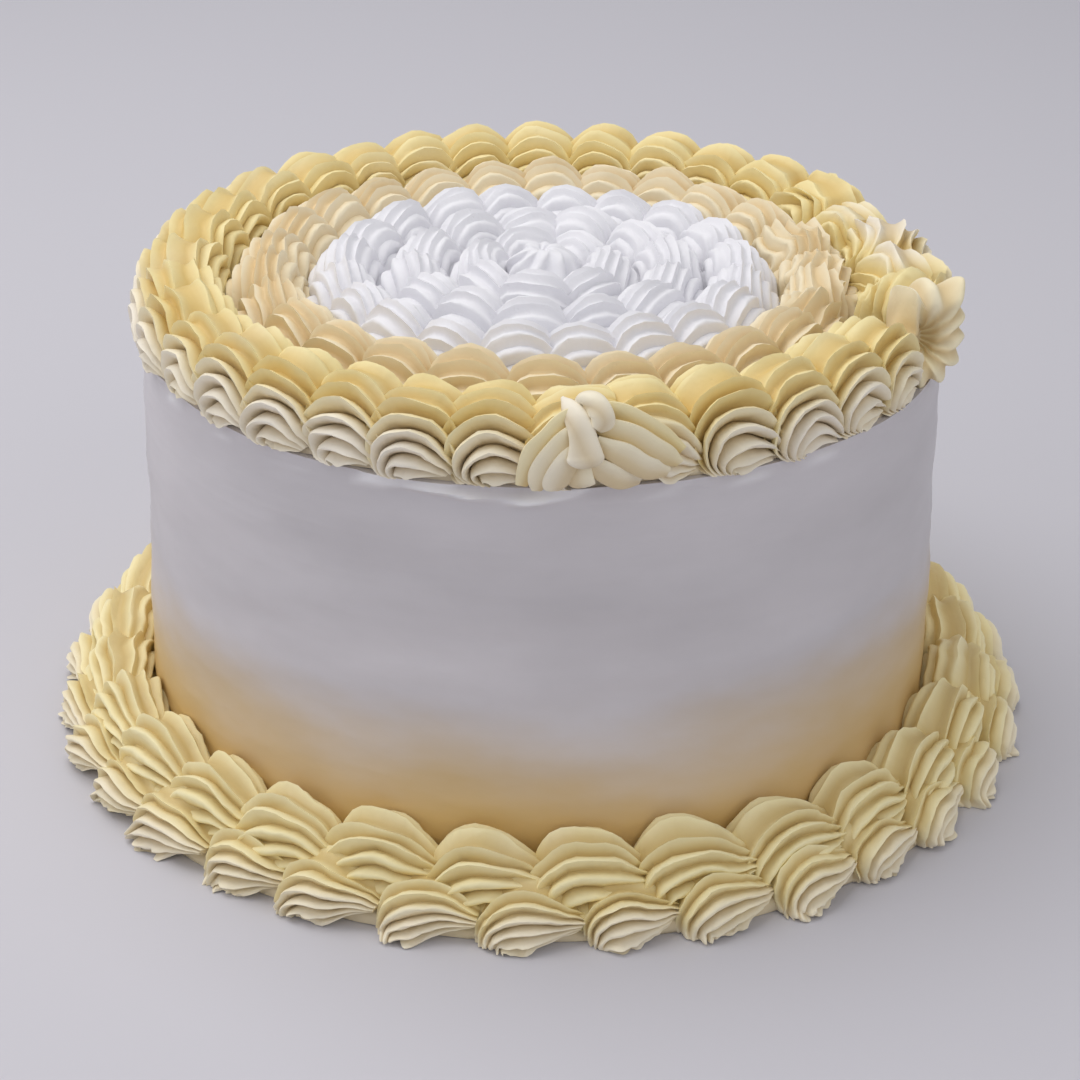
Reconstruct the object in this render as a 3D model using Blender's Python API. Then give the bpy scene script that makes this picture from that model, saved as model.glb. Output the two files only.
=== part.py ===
"""A round cream-coated cake with piped shell borders, in metres, +Z up.

The origin is the centre of the cake's underside. Bearings are measured from the front, -Y, towards +X,
which is also the way in which the rows were piped. Every piped row is one continuous rope of shells:
each shell swells from a blunt head and thins to a tail that the next head covers.
"""

import math
import random
from dataclasses import dataclass

import bmesh
import bpy

# Driving dimensions of the coated cake
CAKE_HEIGHT = 0.1365
WALL_TOP_RADIUS = 0.130
WALL_BASE_RADIUS = 0.133
EDGE_ROUNDING = 0.0016
WALL_SEGMENTS = 88

# Touching pieces keep this clearance
GAP = 0.0003

# Rows on the top, from the rim inwards: the circles that divide them
RIM_OUTER = 0.1345
RIM_INNER = 0.1025
APRICOT_INNER = 0.0755
WHITE_OUTER_INNER = 0.053
WHITE_MIDDLE_INNER = 0.031
WHITE_INNER_INNER = 0.0115

# Heights of the shells above what they lie on
RIM_SHELL_HEIGHT = 0.0285
APRICOT_SHELL_HEIGHT = 0.0265
WHITE_SHELL_HEIGHT = 0.027
CENTRE_DROP_HEIGHT = 0.024

# The double border round the foot
FOOT_OUTER_RADIUS = 0.1665
FOOT_LOWER_HEIGHT = 0.0175
FOOT_UPPER_TOP = 0.0295
FOOT_UPPER_OUTER = 0.1580
PARTING_INNER = (0.1340, 0.0018)
PARTING_OUTER = (0.1565, 0.0150)
FOOT_UPPER_CORE = (0.1425, 0.0150)
FOOT_UPPER_ANGLES = (8, 28, 48, 68, 88, 108)
FOOT_UPPER_BACK = 0.80
FOOT_LOWER_CORE = (0.1500, 0.0)
FOOT_LOWER_WAIST = (0.1500, 0.0060)
FOOT_LOWER_ANGLES = (52, 36, 20, 8)
FOOT_LOWER_TUCK = 0.93

# Shares of the slope between the two foot rows at which each row starts and stops on it
UPPER_STOPS_AT = 0.96
LOWER_STARTS_AT = 0.10
LOWER_STOPS_AT = 0.93
LOWER_INSET = 0.0015

# Shells in each whole turn
RIM_SHELLS = 34
APRICOT_SHELLS = 26
WHITE_OUTER_SHELLS = 20
WHITE_MIDDLE_SHELLS = 13
WHITE_INNER_SHELLS = 7
FOOT_UPPER_SHELLS = 29
FOOT_LOWER_SHELLS = 32

# Where the rows that go all the way round start, in degrees
APRICOT_START = 7.2
WHITE_OUTER_START = 1.0
WHITE_MIDDLE_START = 9.0
WHITE_INNER_START = 17.0
FOOT_UPPER_START = -0.1
FOOT_LOWER_START = 5.2

# Where the rim row starts and stops, in degrees
JOIN_BEARING = 3.25
STAR_BEARING = 70.0
JOIN_HALF_WIDTH = 5.75
STAR_HALF_WIDTH = 8.5

# The squeeze that joins the row's ends, and the curl left on it where the piping bag was lifted off
CURL_RADIUS = 0.0111
CURL_STRETCH = 1.32
CURL_PROFILE = ((0.0, 0.92), (0.32, 1.0), (0.62, 0.92), (0.86, 0.66), (1.0, 0.26))

# The big squeeze that bulges over the edge, aimed past the edge towards the front and a little up
STAR_BACK_BEARING = 72.0
STAR_BACK_RADIUS = 0.110
STAR_AXIS_HEIGHT = 0.1525
STAR_AIM = 44.0
STAR_RISE = 4.0
STAR_LENGTH = 0.027
STAR_RADIUS = 0.0165
STAR_PROFILE = ((0.0, 0.60), (0.20, 0.92), (0.48, 1.0), (0.72, 0.80), (0.90, 0.42), (1.0, 0.10))

# The drop in the middle of the white cream
CENTRE_PROFILE = ((0.0, 0.90), (0.22, 1.0), (0.50, 0.82), (0.78, 0.45), (1.0, 0.10))

# A shell on the top is a dome with full shoulders: where its ridges begin and how far round they go
DOME_FIRST_ANGLE = 14
DOME_ANGLES = 152
SHOULDER_ACROSS = 0.70
SHOULDER_UP = 0.85
MIN_WIDTH = 0.35

# Cream that the tip leaves between its teeth is cut back to this share
VALLEY = 0.84
FOOT_VALLEY = 0.88

# The width and height shares at which a row that doesn't close stops
ROW_END = (0.60, 0.45)

# Share of a shell's pitch, then share of its full size, from one tail to the next
SHELL_STATIONS = ((0.0, 0.72), (0.14, 0.93), (0.50, 1.0), (0.82, 0.88))
RIM_STATIONS = ((0.0, 0.72), (0.10, 0.90), (0.34, 1.0), (0.62, 1.0), (0.85, 0.87))

# How uneven hand piping is, as shares
HEIGHT_SPREAD = 0.09
WIDTH_SPREAD = 0.06
PITCH_SPREAD = 0.10


@dataclass
class Row:
    """One piped rope of shells: where it runs and how its cross-section is drawn."""

    name: str
    section: object
    shells: int
    stations: tuple
    start: float
    sweep: float
    seed: int
    material: str


def clear_scene():
    for thing in list(bpy.data.objects):
        bpy.data.objects.remove(thing, do_unlink=True)


def cream(name, colour, roughness):
    material = bpy.data.materials.new(name)
    material.use_nodes = True
    shader = material.node_tree.nodes["Principled BSDF"]
    shader.inputs["Base Color"].default_value = (*colour, 1.0)
    shader.inputs["Roughness"].default_value = roughness
    shader.inputs["Metallic"].default_value = 0.0
    return material


def around(radius, height, bearing):
    """A point at that radius and height, on that bearing in radians."""
    return (radius * math.sin(bearing), -radius * math.cos(bearing), height)


def add_object(name, bm, material):
    bmesh.ops.recalc_face_normals(bm, faces=bm.faces)
    bmesh.ops.triangulate(bm, faces=bm.faces)
    mesh = bpy.data.meshes.new(name)
    bm.to_mesh(mesh)
    bm.free()
    mesh.materials.append(material)
    mesh.shade_smooth()
    mesh.set_sharp_from_angle(angle=math.radians(38))
    thing = bpy.data.objects.new(name, mesh)
    bpy.context.scene.collection.objects.link(thing)
    return thing


def loft(bm, loops, closed):
    """Skins a list of equal loops of points. An open skin gets a face on each end."""
    rings = [[bm.verts.new(point) for point in loop] for loop in loops]
    pairs = list(zip(rings, rings[1:]))
    if closed:
        pairs.append((rings[-1], rings[0]))
    else:
        bm.faces.new(rings[0])
        bm.faces.new(list(reversed(rings[-1])))
    count = len(rings[0])
    for before, after in pairs:
        for k in range(count):
            j = (k + 1) % count
            bm.faces.new((before[k], after[k], after[j], before[j]))


def dome_section(inner, outer, height, points):
    """A row on the flat top: a ridged dome with a flat underside between two circles."""
    middle = (inner + outer) / 2
    half = (outer - inner) / 2 - GAP / 2
    base = CAKE_HEIGHT + GAP

    def outline(width_share, height_share):
        found = [(middle + half, base)]
        for k in range(points - 2):
            turn = math.radians(DOME_FIRST_ANGLE + DOME_ANGLES * k / (points - 3))
            ridge = 1.0 if k % 2 == 0 else VALLEY
            reach = math.copysign(abs(math.cos(turn)) ** SHOULDER_ACROSS, math.cos(turn))
            rise = math.sin(turn) ** SHOULDER_UP
            found.append((
                middle + half * reach * width_share * (0.5 + 0.5 * ridge),
                base + height * rise * height_share * ridge,
            ))
        found.append((middle - half, base))
        return found

    return outline


def on_parting(share, lift):
    """A point that share of the way up the slope where the two foot rows meet, lifted by lift."""
    (r0, z0), (r1, z1) = PARTING_INNER, PARTING_OUTER
    return (r0 + (r1 - r0) * share, z0 + (z1 - z0) * share + lift)


def towards(core, point, share):
    return tuple(c + (p - c) * share for c, p in zip(core, point))


def foot_face(core, reach, angles, width_share, height_share):
    """The ridged outer face of a foot row, fanned round a core."""
    found = []
    for k, degrees in enumerate(angles):
        ridge = FOOT_VALLEY if k % 2 else 1.0
        turn = math.radians(degrees)
        found.append((
            core[0] + reach[0] * math.cos(turn) * ridge * width_share,
            core[1] + reach[1] * math.sin(turn) * ridge * height_share,
        ))
    return found


def foot_upper_outline(width_share, height_share):
    """The upper foot row: it leans on the wall and lies on the slope of the lower row."""
    core = FOOT_UPPER_CORE
    reach = (FOOT_UPPER_OUTER - core[0], FOOT_UPPER_TOP - core[1])
    share = min(width_share, height_share)
    inner = WALL_BASE_RADIUS + GAP
    back = core[1] + reach[1] * FOOT_UPPER_BACK * height_share
    return [
        (inner, PARTING_INNER[1] + GAP),
        towards(core, on_parting(UPPER_STOPS_AT, GAP), share),
        *foot_face(core, reach, FOOT_UPPER_ANGLES, width_share, height_share),
        (inner, back),
    ]


def foot_lower_outline(width_share, height_share):
    """The lower foot row: a wedge under the slope, with the ridged face outside it."""
    core = FOOT_LOWER_CORE
    reach = (FOOT_OUTER_RADIUS - core[0], FOOT_LOWER_HEIGHT)
    return [
        (PARTING_INNER[0] + LOWER_INSET, 0.0),
        on_parting(LOWER_STARTS_AT, -GAP),
        towards(FOOT_LOWER_WAIST, on_parting(LOWER_STOPS_AT, -GAP), min(1.0, height_share)),
        *foot_face(core, reach, FOOT_LOWER_ANGLES, width_share, height_share),
        (core[0] + reach[0] * FOOT_LOWER_TUCK * width_share, 0.0),
    ]


def row_loops(row):
    """The cross-sections of a row, one after another along its rope."""
    draw = random.Random(row.seed)
    steps = [1.0 + draw.uniform(-PITCH_SPREAD, PITCH_SPREAD) for _ in range(row.shells)]
    pitch = [row.sweep * step / sum(steps) for step in steps]
    bearing = row.start
    loops = []
    for length in pitch:
        high = 1.0 - draw.uniform(0.0, HEIGHT_SPREAD)
        wide = 1.0 - draw.uniform(0.0, WIDTH_SPREAD)
        for along, size in row.stations:
            turn = math.radians(bearing + length * along)
            shape = row.section(wide * (MIN_WIDTH + (1.0 - MIN_WIDTH) * size), high * size)
            loops.append([around(radius, height, turn) for radius, height in shape])
        bearing += length
    if row.sweep < 360.0:
        last = row.section(*ROW_END)
        turn = math.radians(bearing)
        loops.append([around(radius, height, turn) for radius, height in last])
    return loops


def build_row(row, materials):
    bm = bmesh.new()
    loft(bm, row_loops(row), closed=row.sweep >= 360.0)
    return add_object(row.name, bm, materials[row.material])


def build_cake(material):
    """The coated cake: a turned profile with straight sides that flare a little to the foot."""
    profile = [(WALL_BASE_RADIUS, 0.0)]
    levels = (0.33, 0.66)
    for share in levels:
        radius = WALL_BASE_RADIUS + (WALL_TOP_RADIUS - WALL_BASE_RADIUS) * share
        profile.append((radius, CAKE_HEIGHT * share))
    profile.append((WALL_TOP_RADIUS, CAKE_HEIGHT - EDGE_ROUNDING))
    profile.append((WALL_TOP_RADIUS - EDGE_ROUNDING, CAKE_HEIGHT))
    bm = bmesh.new()
    turns = [2 * math.pi * k / WALL_SEGMENTS for k in range(WALL_SEGMENTS)]
    loft(bm, [[around(radius, height, t) for t in turns] for radius, height in profile], closed=False)
    return add_object("coated_cake", bm, material)


def squeeze(name, centre, axis_bearing, axis_rise, length, radius, stretch, profile, ridges, material):
    """A single squeeze of cream: a ridged bulb along an axis, flattened where it meets the cake's top.

    profile holds shares of the length and of the radius, from the back of the bulb to its tip.
    stretch is how many times as far the bulb reaches up, or outwards if it stands, as it does sideways.
    """
    bearing = math.radians(axis_bearing)
    rise = math.radians(axis_rise)
    out = (math.sin(bearing) * math.cos(rise), -math.cos(bearing) * math.cos(rise), math.sin(rise))
    side = (math.cos(bearing), math.sin(bearing), 0.0)
    up = (-math.sin(bearing) * math.sin(rise), math.cos(bearing) * math.sin(rise), math.cos(rise))
    count = 2 * ridges
    loops = []
    for along, share in profile:
        loop = []
        for k in range(count):
            turn = 2 * math.pi * k / count
            reach = radius * share * (1.0 if k % 2 == 0 else VALLEY)
            across = reach * math.cos(turn)
            upward = reach * stretch * math.sin(turn)
            x, y, z = (c + o * length * along + s * across + u * upward
                       for c, o, s, u in zip(centre, out, side, up))
            loop.append((x, y, max(z, CAKE_HEIGHT + GAP)))
        loops.append(loop)
    bm = bmesh.new()
    loft(bm, loops, closed=False)
    return add_object(name, bm, material)


def main():
    clear_scene()
    materials = {
        "coat": cream("smooth white coat", (0.80, 0.77, 0.79), 0.45),
        "yellow": cream("yellow piped cream", (0.84, 0.72, 0.40), 0.55),
        "apricot": cream("apricot piped cream", (0.88, 0.74, 0.50), 0.55),
        "white": cream("white piped cream", (0.88, 0.88, 0.90), 0.50),
        "pale": cream("pale yellow piped cream", (0.82, 0.74, 0.52), 0.55),
    }
    rim = dome_section(RIM_INNER, RIM_OUTER, RIM_SHELL_HEIGHT, 10)
    long_start = STAR_BEARING + STAR_HALF_WIDTH
    long_sweep = 360.0 + JOIN_BEARING - JOIN_HALF_WIDTH - long_start
    short_start = JOIN_BEARING + JOIN_HALF_WIDTH
    short_sweep = STAR_BEARING - STAR_HALF_WIDTH - short_start
    long_shells = round(RIM_SHELLS * long_sweep / 360.0)
    short_shells = round(RIM_SHELLS * short_sweep / 360.0)
    rows = [
        Row("rim_row_long", rim, long_shells, RIM_STATIONS, long_start, long_sweep, 11, "yellow"),
        Row("rim_row_short", rim, short_shells, RIM_STATIONS, short_start, short_sweep, 12, "yellow"),
        Row("apricot_row", dome_section(APRICOT_INNER, RIM_INNER, APRICOT_SHELL_HEIGHT, 9),
            APRICOT_SHELLS, SHELL_STATIONS, APRICOT_START, 360.0, 13, "apricot"),
        Row("white_row_outer", dome_section(WHITE_OUTER_INNER, APRICOT_INNER, WHITE_SHELL_HEIGHT, 9),
            WHITE_OUTER_SHELLS, SHELL_STATIONS, WHITE_OUTER_START, 360.0, 14, "white"),
        Row("white_row_middle", dome_section(WHITE_MIDDLE_INNER, WHITE_OUTER_INNER, WHITE_SHELL_HEIGHT, 9),
            WHITE_MIDDLE_SHELLS, SHELL_STATIONS, WHITE_MIDDLE_START, 360.0, 15, "white"),
        Row("white_row_inner", dome_section(WHITE_INNER_INNER, WHITE_MIDDLE_INNER, WHITE_SHELL_HEIGHT, 9),
            WHITE_INNER_SHELLS, SHELL_STATIONS, WHITE_INNER_START, 360.0, 16, "white"),
        Row("foot_row_upper", foot_upper_outline,
            FOOT_UPPER_SHELLS, SHELL_STATIONS, FOOT_UPPER_START, 360.0, 17, "pale"),
        Row("foot_row_lower", foot_lower_outline,
            FOOT_LOWER_SHELLS, SHELL_STATIONS, FOOT_LOWER_START, 360.0, 18, "pale"),
    ]
    build_cake(materials["coat"])
    for row in rows:
        build_row(row, materials)
    top = CAKE_HEIGHT + GAP
    squeeze("white_centre_drop", (0.0, 0.0, top), 0.0, 90.0, CENTRE_DROP_HEIGHT,
            WHITE_INNER_INNER - GAP, 1.0, CENTRE_PROFILE, 7, materials["white"])
    join = around((RIM_INNER + RIM_OUTER) / 2, top, math.radians(JOIN_BEARING))
    squeeze("rim_join_curl", join, JOIN_BEARING, 90.0, RIM_SHELL_HEIGHT,
            CURL_RADIUS, CURL_STRETCH, CURL_PROFILE, 6, materials["yellow"])
    star = around(STAR_BACK_RADIUS, STAR_AXIS_HEIGHT, math.radians(STAR_BACK_BEARING))
    squeeze("rim_star_drop", star, STAR_AIM, STAR_RISE, STAR_LENGTH,
            STAR_RADIUS, 1.0, STAR_PROFILE, 8, materials["yellow"])


main()
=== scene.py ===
"""Dresses a round layer cake: smooth coat, piped shell borders, single squeezes and the studio round it.

Lengths are in metres and bearings in degrees from the front, -Y, towards +X, the way the rows were piped.
Every row is made of separate squeezes of a star tip, each laid over the tail of the one before it.
"""

import logging
import math
import random
from dataclasses import dataclass, replace
from enum import Enum

import bpy
import numpy as np
from mathutils import Euler, Matrix, Vector


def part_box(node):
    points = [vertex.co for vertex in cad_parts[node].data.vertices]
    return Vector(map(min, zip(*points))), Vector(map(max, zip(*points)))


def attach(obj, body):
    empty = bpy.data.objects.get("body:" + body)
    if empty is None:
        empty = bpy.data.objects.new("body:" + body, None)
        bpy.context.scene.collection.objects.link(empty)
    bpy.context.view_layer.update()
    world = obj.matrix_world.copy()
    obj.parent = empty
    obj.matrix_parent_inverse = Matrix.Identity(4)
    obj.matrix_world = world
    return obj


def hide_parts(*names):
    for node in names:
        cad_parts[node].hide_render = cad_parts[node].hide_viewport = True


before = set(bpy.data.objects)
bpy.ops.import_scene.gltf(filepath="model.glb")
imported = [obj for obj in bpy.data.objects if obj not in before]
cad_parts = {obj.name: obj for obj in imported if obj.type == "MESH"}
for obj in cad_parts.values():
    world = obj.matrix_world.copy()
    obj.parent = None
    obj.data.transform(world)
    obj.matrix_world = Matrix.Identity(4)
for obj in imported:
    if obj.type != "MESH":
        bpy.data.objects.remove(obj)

LOG = logging.getLogger("layer cake")

Pair = tuple[float, float]
Triple = tuple[float, float, float]
Curve = tuple[float, ...]
Grid = np.ndarray
Socket = bpy.types.NodeSocket

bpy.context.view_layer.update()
BODY = "root"

CAKE_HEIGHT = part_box("coated_cake")[1].z
WALL_BASE_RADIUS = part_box("coated_cake")[1].x
WALL_TAPER = 0.003
WALL_TOP_RADIUS = WALL_BASE_RADIUS - WALL_TAPER
RIM_RADIUS = 0.1178
RIM_SAG = 0.0010
RIM_BED = (0.60, 0.13)
JOIN_DEG = 6.9
FULL_TURN = 2 * math.pi
TENTHS_OF_MM = 10000
BED_STEP_DEG = 2.5
BED_AROUND = 16


class Tone(Enum):
    """Which cream a piece is made of."""

    COAT = "coat"
    RIM = "rim_cream"
    APRICOT = "apricot_cream"
    WHITE = "white_cream"
    FOOT = "foot_cream"


class Facing(Enum):
    """Where the spray of colour landed on a row. The value is how much of it reached the bed."""

    TOP = 0.15
    ALL = 0.9


def smooth_step(value: Grid) -> Grid:
    """Eases a value from 0 to 1, flat at both ends.

    Args:
        value: Any numbers; they are cut to 0..1 first.

    Returns:
        The eased numbers.
    """
    cut = np.clip(value, 0.0, 1.0)
    return cut * cut * (3.0 - 2.0 * cut)


def ramp(value: Grid, start: float, run: float) -> Grid:
    """Eases from 0 at start to 1 once run has passed."""
    return smooth_step((value - start) / run)


def eased(values: Curve, along: Grid) -> Grid:
    """Reads a smooth curve that runs through evenly spaced values.

    Args:
        values: The values that the curve passes.
        along: Places on it, from 0 at the first value to 1 at the last.

    Returns:
        The curve's height at each place.
    """
    last = len(values) - 1
    place = np.clip(along, 0.0, 1.0) * last
    step = np.minimum(place.astype(int), last - 1)
    t = place - step
    first = 2 * values[0] - values[1]
    final = 2 * values[-1] - values[-2]
    padded = np.array((first, *values, final))
    a, b, c, d = (padded[step + k] for k in range(4))
    return 0.5 * (2 * b + (c - a) * t + (2 * a - 5 * b + 4 * c - d) * t**2 + (3 * b - a - 3 * c + d) * t**3)


def ripple(draw: np.random.Generator, points: Grid, wavelength: float) -> Grid:
    """Soft random waves through space, for unevenness that has no repeat.

    Args:
        draw: The seeded source of random numbers.
        points: Places, as an array that ends in three coordinates.
        wavelength: The mean distance between crests.

    Returns:
        Numbers from about -1 to 1, one for each place.
    """
    total = np.zeros(points.shape[:-1])
    waves = 6
    for _ in range(waves):
        direction = draw.normal(size=3)
        direction /= np.linalg.norm(direction)
        pace = FULL_TURN / (wavelength * draw.uniform(0.7, 1.4))
        total += np.sin(points @ direction * pace + draw.uniform(0, FULL_TURN))
    return total / math.sqrt(waves)


def on_bearing(radius: Grid, height: Grid, bearing: Grid) -> Grid:
    """Turns cylinder coordinates into points.

    Args:
        radius: Distances from the cake's axis.
        height: Heights above the underside.
        bearing: Bearings in radians.

    Returns:
        An array of points that ends in three coordinates.
    """
    return np.stack((radius * np.sin(bearing), -radius * np.cos(bearing), height + 0 * radius), axis=-1)


@dataclass
class Skin:
    """A closed skin made of rings of points, with a fan over each end."""

    points: Grid
    # How much sprayed colour lands on each point; on the coat it is the painted highlight instead.
    spray_and_highlight: Grid
    # How much painted shade each point gets, from how deep it lies in a flute.
    painted_shade: Grid

    def faces(self, first: int) -> tuple[Grid, Grid]:
        """Lists the skin's faces.

        Args:
            first: The number of this skin's first point in the whole mesh.

        Returns:
            The four-sided faces between rings and the triangles of the two end fans.
        """
        rings, around = self.points.shape[:2]
        k = np.arange(around)
        after = (k + 1) % around
        base = first + around * np.arange(rings - 1)[:, None]
        quads = np.stack((base + k, base + after, base + around + after, base + around + k), axis=-1)
        start = first + rings * around
        finish = start + 1
        end_ring = first + (rings - 1) * around
        fan_start = np.stack((np.full(around, start), first + after, first + k), axis=-1)
        fan_end = np.stack((np.full(around, finish), end_ring + k, end_ring + after), axis=-1)
        return quads.reshape(-1, 4), np.concatenate((fan_start, fan_end))

    def places(self) -> Grid:
        """All the points in order, with the two fans' middles last."""
        middles = np.stack((self.points[0].mean(axis=0), self.points[-1].mean(axis=0)))
        return np.concatenate((self.points.reshape(-1, 3), middles))

    def values(self, grid: Grid) -> Grid:
        """Numbers for every point in the order of places()."""
        return np.concatenate((grid.reshape(-1), (grid[0].mean(), grid[-1].mean())))


def mesh_object(name: str, skins: list[Skin], sharp_deg: float = 60.0) -> bpy.types.Object:
    """Joins skins into one mesh object.

    Args:
        name: The object's name.
        skins: The closed skins.
        sharp_deg: Edges sharper than this stay crisp.

    Returns:
        The new object, linked to the scene.
    """
    places, quads, fans, sprays_and_highlights, painted_shades = [], [], [], [], []
    first = 0
    for skin in skins:
        spots = skin.places()
        four, three = skin.faces(first)
        places.append(spots)
        quads.append(four)
        fans.append(three)
        sprays_and_highlights.append(skin.values(skin.spray_and_highlight))
        painted_shades.append(skin.values(skin.painted_shade))
        first += len(spots)
    faces = np.concatenate(quads).tolist() + np.concatenate(fans).tolist()
    mesh = bpy.data.meshes.new(name)
    mesh.from_pydata(np.concatenate(places).tolist(), [], faces)
    # Each point keeps its sprayed colour, with the coat's painted highlight, and its painted shade.
    for label, parts in (("spray_and_highlight", sprays_and_highlights), ("painted_shade", painted_shades)):
        layer = mesh.attributes.new(label, "FLOAT", "POINT")
        layer.data.foreach_set("value", np.concatenate(parts).astype(np.float32))
    mesh.update()
    mesh.shade_smooth()
    mesh.set_sharp_from_angle(angle=math.radians(sharp_deg))
    thing = bpy.data.objects.new(name, mesh)
    bpy.context.scene.collection.objects.link(thing)
    return thing


@dataclass(frozen=True)
class Comb:
    """The marks that the tip's teeth leave: thin lips with a flute under each.

    steps are places from an upper lip to the next one down, and drops how deep the flute is there. Lips
    further than blades ridges from the top turn round instead of thin over blade_blend more, and the marks
    within top_half ridges of the top are even. inner_share and inner_soft say how shallow and how round the
    flutes on the inner side are.
    """

    ridges: int = 13
    broad_top: float = 0.90
    blades: float = 1.6
    blade_blend: float = 1.4
    top_half: float = 0.75
    inner_share: float = 0.62
    inner_soft: float = 0.6
    steps: Curve = (0.0, 0.10, 0.22, 0.36, 0.50, 0.66, 0.84)
    drops: Curve = (0.0, 0.50, 0.90, 1.0, 0.88, 0.58, 0.20)

    def teeth(self) -> tuple[Grid, Grid]:
        """Spaces the marks round half a cross-section, from its outer foot over the top to its inner foot.

        Returns:
            Places in ridges, and the depth of the flute at each.
        """
        places, depths = [], []
        count = len(self.steps)
        soft = 1.0 - np.abs(np.cos(np.pi * np.array(self.steps)))
        for ridge in range(self.ridges):
            side = ridge + 0.5 - self.ridges / 2
            rounder = min(max((abs(side) - self.blades) / self.blade_blend, 0.0), 1.0)
            drops = (1.0 - rounder) * np.array(self.drops) + rounder * soft
            if abs(side) < self.top_half:
                share = np.arange(count) / count
                places.append(ridge + share)
                depths.append(np.sin(np.pi * share))
            elif side < 0:
                order = (0, *range(count - 1, 0, -1))
                share = np.array([1.0 - self.steps[k] if k else 0.0 for k in order])
                places.append(ridge + share)
                depths.append(drops[list(order)])
            else:
                places.append(ridge + np.array(self.steps))
                depths.append(self.inner_share * ((1.0 - self.inner_soft) * drops + self.inner_soft * soft))
        places.append(np.array([float(self.ridges)]))
        depths.append(np.zeros(1))
        return np.concatenate(places)[None, :], np.concatenate(depths)[None, :]


@dataclass(frozen=True)
class Squeeze:
    """How one squeeze of the tip swells from its head and thins to its tail.

    The tuples hold values at even steps from head to tail. The cross-section starts flat on what it lies on,
    behind the head, and stands up as the tip moves forward, so that its ridges rise over the head as arches.
    The flutes are head_depth as deep at the head and full from head_end on. They go from top_depth to
    side_depth over aside_deg on either side of the top. crowding puts more cross-sections at the ends, and the
    ridges turn about the cross-section at twist_pivot.
    """

    lean_deg: Curve = (88.0, 74.0, 56.0, 36.0, 14.0, -10.0, -34.0, -56.0)
    reach: Curve = (0.32, 0.46, 0.61, 0.80, 0.95, 0.92, 0.66, 0.38)
    width: Curve = (0.95, 0.97, 0.99, 1.0, 1.0, 0.99, 0.95, 0.86)
    travel: Curve = (0.0, 0.0, 0.0, 0.01, 0.03, 0.08, 0.18, 0.32)
    middle: Curve = (0.10, 0.17, 0.23, 0.26, 0.27, 0.27, 0.25, 0.20)
    square: Curve = (0.56, 0.58, 0.62, 0.68, 0.74, 0.76, 0.76, 0.76)
    comb: Comb = Comb()
    side_depth: float = 0.38
    top_depth: float = 0.12
    head_depth: float = 0.45
    head_end: float = 0.35
    crowding: float = 0.06
    twist_pivot: float = 0.4
    aside_deg: float = 50.0
    peak: float = 1.0
    low_deg: float = -25.0
    high_deg: float = 205.0
    rings: int = 32

    def sections(self, half_width: float, height: float, pitch: float, phase: float, twist: float,
                 ) -> tuple[Grid, Grid, Grid]:
        """Works out the squeeze's points in its own frame.

        Args:
            half_width: Half its full width.
            height: Its full height.
            pitch: The distance to the next squeeze's head.
            phase: How far the ridges are shifted round it, in ridges.
            twist: How far the ridges turn round it from head to tail, in ridges.

        Returns:
            The points, as distance along the row, distance outwards and height; the bearing round the
            cross-section in degrees, 0 outwards and 90 up; and how deep each point lies in a flute, 0 to 1.
        """
        along = np.linspace(0.0, 1.0, self.rings)[:, None]
        along = along - self.crowding * np.sin(FULL_TURN * along)
        ridge, flute = self.comb.teeth()
        flute = flute + 0 * along
        span = 2.0 * (ridge + phase + twist * (along - self.twist_pivot)) / self.comb.ridges - 1.0
        spread = np.sign(span) * np.abs(span) ** self.comb.broad_top
        middle_deg = (self.low_deg + self.high_deg) / 2
        turn_deg = middle_deg + spread * (self.high_deg - self.low_deg) / 2
        turn = np.radians(turn_deg)
        aside = smooth_step(np.abs(turn_deg - 90.0) / self.aside_deg)
        cut = self.head_depth + (1.0 - self.head_depth) * smooth_step(along / self.head_end)
        size = 1.0 - (self.top_depth + (self.side_depth - self.top_depth) * aside) * cut * flute
        lean = np.radians(eased(self.lean_deg, along))
        reach = eased(self.reach, along)
        middle = eased(self.middle, along)
        wide = half_width * eased(self.width, along)
        boxy = eased(self.square, along)
        outward = wide * np.sign(np.cos(turn)) * np.abs(np.cos(turn)) ** boxy * size
        arch = np.sign(np.sin(turn)) * np.abs(np.sin(turn)) ** self.peak
        rise = height * np.maximum(middle + (reach - middle) * arch * size, 0.0)
        forward = pitch * eased(self.travel, along) - rise * np.sin(lean)
        upward = rise * np.cos(lean)
        return np.stack((forward, outward, upward), axis=-1), turn_deg, flute


OPENING = Squeeze(
    lean_deg=(38.0, 30.0, 22.0, 14.0, 6.0, -6.0, -28.0, -52.0),
    reach=(0.66, 0.84, 0.96, 1.0, 1.0, 0.94, 0.68, 0.40),
    width=(0.60, 0.76, 0.88, 0.95, 0.97, 0.95, 0.86, 0.62),
    travel=(-0.10, -0.10, -0.08, -0.04, 0.03, 0.10, 0.20, 0.34),
    middle=(0.56, 0.52, 0.45, 0.38, 0.32, 0.28, 0.25, 0.20),
    side_depth=0.14,
)
CLOSING = Squeeze(
    lean_deg=(88.0, 72.0, 54.0, 36.0, 20.0, 6.0, 0.0, 0.0),
    reach=(0.36, 0.50, 0.64, 0.82, 0.94, 0.96, 0.92, 0.86),
    width=(0.84, 0.92, 0.98, 1.0, 0.98, 0.88, 0.68, 0.42),
    travel=(0.0, 0.0, 0.02, 0.06, 0.14, 0.24, 0.38, 0.52),
    middle=(0.10, 0.18, 0.27, 0.36, 0.46, 0.56, 0.62, 0.64),
    side_depth=0.14,
)


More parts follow.
